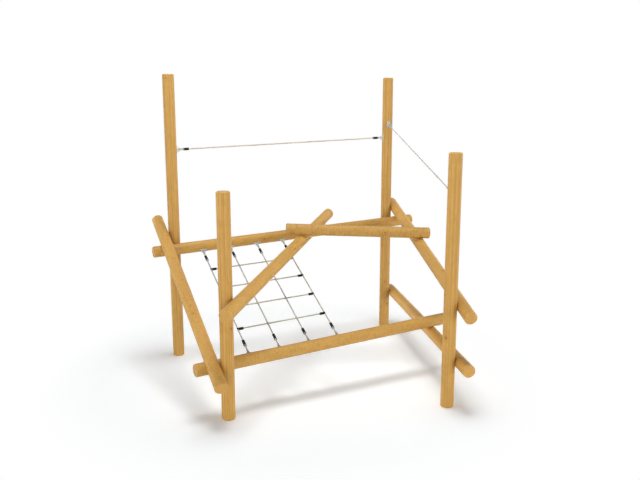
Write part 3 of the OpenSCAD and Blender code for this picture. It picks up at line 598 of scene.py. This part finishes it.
# %% End grain: close rings, and a few cracks that run out from the pith
end_pale, end_dark, crack_colour = (0.534, 0.302, 0.075), (0.445, 0.232, 0.051), (0.178, 0.084, 0.021)
chamfer_colour = (0.570, 0.338, 0.093)
near_end = maths(wood, "MINIMUM", split.outputs["Z"], less(given["Length"], split.outputs["Z"]))
end_face = step(wood, near_end, 0.0004, 0.0012, 1.0, 0.0)
chamfer = step(wood, near_end, 0.0085, 0.0120, 1.0, 0.0)
spoke = put(wood, "ShaderNodeTexNoise", {"noise_dimensions": "1D"},
            W=maths(wood, "ARCTAN2", from_pith_y, from_pith_x), Scale=4.5, Detail=2.0).outputs["Fac"]
end_colour = mixed(wood, step(wood, ring_wave, 0.1, 0.95), end_pale, end_dark)
end_colour = mixed(wood, times(close_to_half(spoke, 0.002, 0.010), 0.5), end_colour, crack_colour)
colour = mixed(wood, times(chamfer, 0.15), side_colour, chamfer_colour)
colour = mixed(wood, end_face, colour, end_colour)
# Tone scales the colour's brightness log by log: partly the wood's own shade, partly painted light.
tone = put(wood, "ShaderNodeHueSaturation", Value=given["Tone"], Color=colour)
fill(wood, wood_out.inputs["Color"], tone.outputs[0])
print("nodes so far:", len(wood.nodes))

# %% The wood's roughness and its height
rough = maths(wood, "ADD", step(wood, fibre, 0.3, 0.7, 0.50, 0.62), times(check, 0.25))
fill(wood, wood_out.inputs["Roughness"], rough)
height = maths(wood, "MULTIPLY_ADD", fibre, 0.10, times(late_wood, 0.05))
height = maths(wood, "ADD", height, times(tool, times(given["Tool Marks"], 0.45)))
height = less(height, check)
height = less(height, times(knot_core, 0.15))
fill(wood, wood_out.inputs["Height"], height)
print("nodes in the wood group:", len(wood.nodes))

# %% [markdown]
# To turn the grain to a log, its axis has to be known. It is read from the log's own mesh: both ends are
# flat and round, so the middle of each end is halfway between the extremes of its rim. The hollows that
# let crossing logs fit round each other all lie further in.

# %% Where a log's two ends are
rim_depth = 0.002
axis_passes = 4
ends_digits = 5
to_right, to_front, to_rear = (1, 0, 0), (0, -1, 0), (0, 1, 0)


def log_ends(node, runs):
    """The middles of a log's ends, in the direction that it runs. The axis starts as the points' longest
    spread. Each pass takes the points within rim_depth of the furthest ones, and joins their middles.
    Rounded to a hundredth of a millimetre, an upright post is upright to the last digit."""
    mesh = nodes[node].data
    points = np.empty(3 * len(mesh.vertices), np.float32)
    mesh.vertices.foreach_get("co", points)
    points = points.reshape(-1, 3).astype(float)
    axis = np.linalg.svd(points - points.mean(axis=0), full_matrices=False)[2][0]
    axis = axis * np.sign(np.dot(axis, runs))
    for _ in range(axis_passes):
        along = points @ axis
        rims = points[along < along.min() + rim_depth], points[along > along.max() - rim_depth]
        start, end = [(rim.min(axis=0) + rim.max(axis=0)) / 2 for rim in rims]
        axis = unit(end - start)
    return Vector(np.round(start, ends_digits)), Vector(np.round(end, ends_digits))


start, end = log_ends("beam_rear", to_right)
print("rear beam's length, m:", round((end - start).length, 3))

# %% Each log: the way it runs, and its tone (partly painted light), tool marks, flames and long streaks
# Each tone is partly the log's own shade of wood and partly painted light: darker on logs that the overhead
# lamp lights strongly, such as the top log, and lighter on those more in shade, such as the lower right rail.
logs = {
    "post_rear_left": (upward, 0.97, 0.10, 0.90, 0.7),
    "post_front_left": (upward, 1.01, 0.10, 0.90, 0.8),
    "post_rear_right": (upward, 0.94, 0.10, 0.90, 0.7),
    "post_front_right": (upward, 1.01, 0.10, 0.90, 0.6),
    "beam_rear": (to_right, 1.01, 0.55, 0.60, 0.1),
    "beam_front": (to_right, 0.97, 0.70, 0.40, 0.0),
    "brace_left": (to_front, 1.04, 0.75, 0.40, 0.0),
    "rail_right_upper": (to_front, 1.03, 0.60, 0.40, 0.0),
    "rail_right_lower": (to_front, 1.14, 0.55, 0.40, 0.0),
    "log_leaning": (to_rear, 1.02, 0.60, 0.40, 0.0),
    "log_top": (to_right, 0.89, 1.10, 0.40, 0.0),
}
seed_step = 1.37


def log_material(node, runs, tone_and_light, marks, flames, long_streaks, seed):
    """Wood turned to one log: the Mapping node brings its start to the origin and its axis to z."""
    start, end = log_ends(node, runs)
    axis = end - start
    turn = axis.to_track_quat("Z", "Y").to_matrix().transposed()
    material, tree, shader = new_material("wood_" + node)
    place = put(tree, "ShaderNodeTexCoord")
    mapping = put(tree, "ShaderNodeMapping", {"vector_type": "POINT"}, Vector=place.outputs["Object"],
                  Location=-(turn @ start), Rotation=turn.to_euler("XYZ"))
    grain = group_node(tree, wood, Vector=mapping.outputs[0], Length=axis.length, Seed=seed,
                       Tone=tone_and_light, Tool_Marks=marks, Flames=flames, Long_Streaks=long_streaks)
    bump = put(tree, "ShaderNodeBump", Height=grain.outputs["Height"], Strength=0.55, Distance=0.0012)
    fill(tree, shader.inputs["Base Color"], grain.outputs["Color"])
    fill(tree, shader.inputs["Roughness"], grain.outputs["Roughness"])
    fill(tree, shader.inputs["Normal"], bump.outputs[0])
    shader.inputs["Specular IOR Level"].default_value = 0.35
    return material


def dress(node, material):
    """Gives a CAD node one material in place of its own."""
    nodes[node].data.materials.clear()
    nodes[node].data.materials.append(material)


for number, (node, look) in enumerate(logs.items()):
    dress(node, log_material(node, *look, seed_step * number))
print("logs dressed:", len(logs))

# %% [markdown]
# The small parts share one mottled effect, which is cells of uneven tone under a fine noise. Zinc is dull
# and cloudy, screw heads are dark, and the ferrules are black with hardly any shine. The plugs are the same
# wood as the logs, but only their end grain shows, so the mottled effect is enough for them too.

# %% Mottled surfaces, as one group
mottle, mottle_in, mottle_out = new_group(
    "mottled_surface",
    {"Dark": ("Color", (0.3, 0.3, 0.3, 1.0)), "Pale": ("Color", (0.7, 0.7, 0.7, 1.0)),
     "Scale": ("Float", 60.0), "Rough Low": ("Float", 0.35), "Rough High": ("Float", 0.6)},
    {"Color": ("Color", None), "Roughness": ("Float", None), "Height": ("Float", None)})
asked = mottle_in.outputs
mottle_place = put(mottle, "ShaderNodeTexCoord")
patches = put(mottle, "ShaderNodeTexVoronoi", {"feature": "F1"}, Vector=mottle_place.outputs["Object"],
              Scale=asked["Scale"])
fine = put(mottle, "ShaderNodeTexNoise", Vector=mottle_place.outputs["Object"],
           Scale=maths(mottle, "MULTIPLY", asked["Scale"], 3.0), Detail=3.0)
patch_value = put(mottle, "ShaderNodeSeparateColor", Color=patches.outputs["Color"])
fine_half = maths(mottle, "MULTIPLY", fine.outputs["Fac"], 0.5)
blotch = maths(mottle, "MULTIPLY_ADD", patch_value.outputs[0], 0.5, fine_half)
rough_span = maths(mottle, "SUBTRACT", asked["Rough High"], asked["Rough Low"])
fill(mottle, mottle_out.inputs["Color"], mixed(mottle, blotch, asked["Dark"], asked["Pale"]))
fill(mottle, mottle_out.inputs["Roughness"],
     maths(mottle, "MULTIPLY_ADD", blotch, rough_span, asked["Rough Low"]))
fill(mottle, mottle_out.inputs["Height"], fine.outputs["Fac"])
print("nodes in the mottled group:", len(mottle.nodes))


# %% Zinc, darker zinc with painted shade, dark steel, black ferrules and plugs
def mottled_material(name, dark, pale, scale, rough, metallic, bump_strength):
    """A material of the mottled group with its own two colours, scale, roughness span and shine."""
    material, tree, shader = new_material(name)
    look = group_node(tree, mottle, Dark=(*dark, 1.0), Pale=(*pale, 1.0), Scale=scale,
                      Rough_Low=rough[0], Rough_High=rough[1])
    bump = put(tree, "ShaderNodeBump", Height=look.outputs["Height"], Strength=bump_strength, Distance=0.0004)
    fill(tree, shader.inputs["Base Color"], look.outputs["Color"])
    fill(tree, shader.inputs["Roughness"], look.outputs["Roughness"])
    fill(tree, shader.inputs["Normal"], bump.outputs[0])
    shader.inputs["Metallic"].default_value = metallic
    return material


zinc = mottled_material(
    "galvanised_steel", dark=(0.50, 0.52, 0.47), pale=(0.74, 0.76, 0.69),
    scale=90.0, rough=(0.36, 0.55), metallic=0.6, bump_strength=0.2)
# A darker copy of the zinc, on the thimbles and on the right hand rope's sleeves. On the thimbles its darkness
# is painted shade: the shadow of the bar and the rope's eye round them.
shaded_zinc = mottled_material(
    "shaded_zinc", dark=(0.26, 0.26, 0.24), pale=(0.44, 0.44, 0.40),
    scale=120.0, rough=(0.4, 0.6), metallic=0.5, bump_strength=0.2)
dark_steel = mottled_material(
    "screw_steel", dark=(0.07, 0.065, 0.06), pale=(0.16, 0.15, 0.14),
    scale=140.0, rough=(0.35, 0.6), metallic=0.8, bump_strength=0.2)
black = mottled_material(
    "black_ferrule", dark=(0.005, 0.005, 0.005), pale=(0.014, 0.013, 0.013),
    scale=70.0, rough=(0.55, 0.75), metallic=0.0, bump_strength=0.3)
black.node_tree.nodes["Principled BSDF"].inputs["Specular IOR Level"].default_value = 0.12
plug_wood = mottled_material(
    "plug_wood", dark=(0.40, 0.215, 0.070), pale=(0.60, 0.360, 0.135),
    scale=220.0, rough=(0.5, 0.65), metallic=0.0, bump_strength=0.4)

# %% Which fitting is made of what
fittings = (
    (zinc, ("net_eye_plates_rear", "net_eye_plates_front", "hand_rope_eye_plates")),
    (shaded_zinc, ("net_thimbles_rear", "net_thimbles_front", "hand_rope_thimbles", "hand_rope_sleeves")),
    (dark_steel, ("log_screws", "net_plate_screws", "hand_rope_plate_screws")),
    (black, ("net_ferrules_rear", "net_ferrules_front", "hand_rope_ferrules",
             "cross_rope_tees_left", "cross_rope_tees_right")),
    (plug_wood, ("wood_plugs",)))
for material, dressed in fittings:
    for node in dressed:
        dress(node, material)
print("fittings dressed:", sum(len(dressed) for material, dressed in fittings))

# %% [markdown]
# Rope fibre is dull and a little hairy. Each strand is itself twisted from yarns, the other way round
# from the strands, which shows as fine slanting lines. The rope's own uv map carries them: u is the
# share of a turn round the strand, and v is the length along the rope in metres.

# %% Twisted yarn, as one group
yarn_lay = 0.020
yarns_in_strand = 4

yarns, yarns_in, yarns_out = new_group(
    "twisted_yarn",
    {"Dark": ("Color", (0.3, 0.3, 0.3, 1.0)), "Pale": ("Color", (0.6, 0.6, 0.6, 1.0)),
     "Dust": ("Color", (0.5, 0.45, 0.35, 1.0))},
    {"Color": ("Color", None), "Height": ("Float", None)})
run = put(yarns, "ShaderNodeUVMap", {"uv_map": "run"})
uv = put(yarns, "ShaderNodeSeparateXYZ", Vector=run.outputs[0])
round_strand = maths(yarns, "MULTIPLY", uv.outputs["X"], 2 * np.pi * yarns_in_strand)
yarn_turn = maths(yarns, "MULTIPLY_ADD", uv.outputs["Y"], -2 * np.pi / yarn_lay, round_strand)
yarn = step(yarns, maths(yarns, "SINE", yarn_turn), -1.0, 0.6)
place = put(yarns, "ShaderNodeTexCoord")
dust = put(yarns, "ShaderNodeTexNoise", Vector=place.outputs["Object"], Scale=9.0, Detail=4.0)
fuzz = put(yarns, "ShaderNodeTexNoise", Vector=place.outputs["Object"], Scale=900.0, Detail=2.0)
dusty = step(yarns, dust.outputs["Fac"], 0.4, 0.7, 0.0, 0.5)
rope_colour = mixed(yarns, yarn, yarns_in.outputs["Dark"], yarns_in.outputs["Pale"])
rope_colour = mixed(yarns, dusty, rope_colour, yarns_in.outputs["Dust"])
fill(yarns, yarns_out.inputs["Color"], rope_colour)
fill(yarns, yarns_out.inputs["Height"], maths(yarns, "MULTIPLY_ADD", fuzz.outputs["Fac"], 0.4, yarn))
print("nodes in the yarn group:", len(yarns.nodes))


# %% The four kinds of rope; the hand ropes' paler colours are partly painted light
def rope_material(name, dark, pale, dust):
    """A rope of twisted yarn in its own three colours."""
    material, tree, shader = new_material(name)
    look = group_node(tree, yarns, Dark=(*dark, 1.0), Pale=(*pale, 1.0), Dust=(*dust, 1.0))
    bump = put(tree, "ShaderNodeBump", Height=look.outputs["Height"], Strength=0.7, Distance=0.0005)
    fill(tree, shader.inputs["Base Color"], look.outputs["Color"])
    fill(tree, shader.inputs["Normal"], bump.outputs[0])
    shader.inputs["Roughness"].default_value = 0.85
    shader.inputs["Sheen Weight"].default_value = 0.2
    return material


net_rope = rope_material(
    "net_rope", dark=(0.314, 0.293, 0.246), pale=(0.513, 0.486, 0.432), dust=(0.408, 0.378, 0.316))
cross_rope = rope_material(
    "cross_rope", dark=(0.317, 0.304, 0.217), pale=(0.519, 0.502, 0.386), dust=(0.414, 0.392, 0.282))
# The two hand ropes are paler than the net's ropes, partly with painted light: it stands in for the light from
# above on their upper sides.
rear_hand_rope_lit = rope_material(
    "rear_hand_rope_lit", dark=(0.383, 0.336, 0.240), pale=(0.615, 0.553, 0.436), dust=(0.500, 0.433, 0.320))
right_hand_rope_lit = rope_material(
    "right_hand_rope_lit", dark=(0.375, 0.343, 0.289), pale=(0.603, 0.565, 0.526), dust=(0.490, 0.442, 0.386))
rope_looks = [net_rope] * net_count + [cross_rope] * cross_count + [rear_hand_rope_lit, right_hand_rope_lit]
for (rope, line), material in zip(net_ropes + hand_ropes, rope_looks):
    rope.data.materials.append(material)
print("ropes dressed:", len(rope_looks))

# %% [markdown]
# The light is the soft light of a white studio: one wide round lamp high overhead, and a bright band low
# down all round, as from white walls. A lamp at a height, unlike a sun, throws its shadows outwards from
# the point below it. Its energy in watts is its share of the light times the square of pi times height.
# Where the background is seen, straight on or in shiny steel, it is plain white instead of the band.

# %% Light from all round
def where_seen(tree):
    """1 on rays from the camera and on those that shiny or clear surfaces send on, 0 on all others."""
    path = put(tree, "ShaderNodeLightPath").outputs
    sent_on = maths(tree, "MAXIMUM", path["Is Glossy Ray"], path["Is Transmission Ray"])
    return maths(tree, "MAXIMUM", path["Is Camera Ray"], sent_on)


white_light = (1.0, 1.0, 1.0, 1.0)
band_strength, above_strength = 6.4, 0.06
band_top, above_start = 0.05, 0.30

world = bpy.data.worlds.new("studio")
bpy.context.scene.world = world
world.use_nodes = True
sky = world.node_tree
sky.nodes.clear()
sky_place = put(sky, "ShaderNodeTexCoord")
sky_height = put(sky, "ShaderNodeSeparateXYZ", Vector=sky_place.outputs["Generated"]).outputs["Z"]
lit_strength = step(sky, sky_height, band_top, above_start, band_strength, above_strength)
lit = put(sky, "ShaderNodeBackground", Color=white_light, Strength=lit_strength)
shown = put(sky, "ShaderNodeBackground", Color=white_light, Strength=1.0)
either = put(sky, "ShaderNodeMixShader", Fac=where_seen(sky))
fill(sky, either.inputs[1], lit.outputs[0])
fill(sky, either.inputs[2], shown.outputs[0])
put(sky, "ShaderNodeOutputWorld", Surface=either.outputs[0])
print("the bright band ends, degrees above the horizon:", round(np.degrees(np.arcsin(above_start))))

# %% Light from overhead
lamp_height = 16.0
lamp_share = 0.61
lamp_width = 7.0
lamp_x, lamp_y = 0.6, -0.2

lamp_data = bpy.data.lights.new("overhead", "AREA")
lamp_data.shape = "DISK"
lamp_data.size = lamp_width
lamp_data.energy = lamp_share * (np.pi * lamp_height) ** 2
lamp = bpy.data.objects.new("overhead", lamp_data)
lamp.location = (lamp_x, lamp_y, lamp_height)
bpy.context.scene.collection.objects.link(lamp)
print("overhead lamp, watts:", round(lamp_data.energy))

# %% [markdown]
# The floor keeps the frame's shadow. It is a trace blue, against the warm light that the wood throws on it.
# Where it is seen, it is a little lighter than the lamp makes it, and between two and three metres from
# the middle of the frame it fades into the white of the background.

# %% Floor
floor_half = 60.0
floor_colour = (0.940, 0.972, 0.995, 1.0)

floor_mesh = bpy.data.meshes.new("floor")
floor_mesh.from_pydata([(-floor_half, -floor_half, 0), (floor_half, -floor_half, 0),
                        (floor_half, floor_half, 0), (-floor_half, floor_half, 0)], [], [(0, 1, 2, 3)])
floor = bpy.data.objects.new("floor", floor_mesh)
bpy.context.scene.collection.objects.link(floor)
floor_material, tree, shader = new_material("floor")
shader.inputs["Base Color"].default_value = floor_colour
shader.inputs["Roughness"].default_value = 1.0
shader.inputs["Specular IOR Level"].default_value = 0.0
print("floor, m across:", 2 * floor_half)

# %% How the floor is seen
floor_lift = 0.155
fade_start, fade_end = 2.1, 3.1
seen_floor = where_seen(tree)
floor_place = put(tree, "ShaderNodeTexCoord")
from_middle = put(tree, "ShaderNodeVectorMath", {"operation": "LENGTH"})
fill(tree, from_middle.inputs[0], floor_place.outputs["Object"])
far_off = step(tree, from_middle.outputs["Value"], fade_start, fade_end)
lift = put(tree, "ShaderNodeEmission", Color=white_light,
           Strength=maths(tree, "MULTIPLY", seen_floor, floor_lift))
near_by = put(tree, "ShaderNodeAddShader")
fill(tree, near_by.inputs[0], shader.outputs[0])
fill(tree, near_by.inputs[1], lift.outputs[0])
white = put(tree, "ShaderNodeEmission", Color=white_light, Strength=1.0)
faded = put(tree, "ShaderNodeMixShader", Fac=maths(tree, "MULTIPLY", seen_floor, far_off))
fill(tree, faded.inputs[1], near_by.outputs[0])
fill(tree, faded.inputs[2], white.outputs[0])
fill(tree, tree.nodes["Material Output"].inputs["Surface"], faded.outputs[0])
floor.data.materials.append(floor_material)
print("nodes in the floor's material:", len(tree.nodes))

# %% [markdown]
# The Standard view shows colours as they are written here.

# %% Colours as written, and the end
bpy.context.scene.view_settings.view_transform = "Standard"
